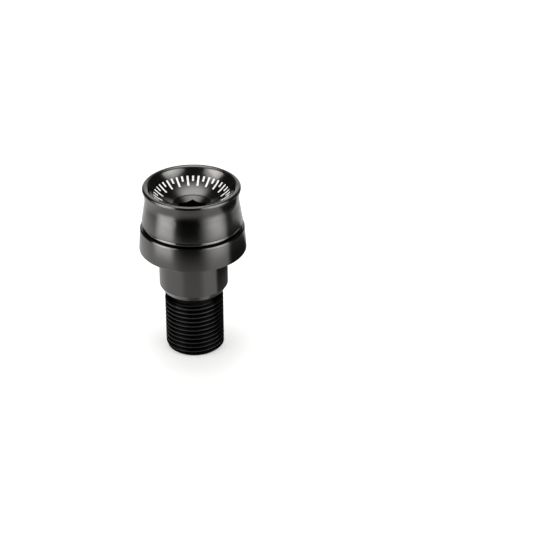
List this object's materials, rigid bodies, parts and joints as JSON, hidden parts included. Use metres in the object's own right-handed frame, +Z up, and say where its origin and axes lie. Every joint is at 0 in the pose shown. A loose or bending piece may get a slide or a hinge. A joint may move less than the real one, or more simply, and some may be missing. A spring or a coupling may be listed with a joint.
{
  "type": "bar end weight",
  "caption": "Turned black anodised handlebar end weight with a dished head, rolled rim, ring, rubber O-ring, sleeve and threaded stud.",
  "frame": {"origin": "centre of the stud's end face, the lowest point of the part as it stands", "axes": "+Z up the turning axis from the stud's end to the rim of the head; a corner of the hexagon socket points along +Y"},
  "size_m": [0.0326, 0.0326, 0.0547],
  "materials": {
    "anodised_aluminium": "satin black anodised",
    "nitrile_rubber": "smooth moulded"
  },
  "bodies": {
    "root": {"bar_end": "anodised_aluminium", "o_ring": "nitrile_rubber"}
  },
  "joints": []
}
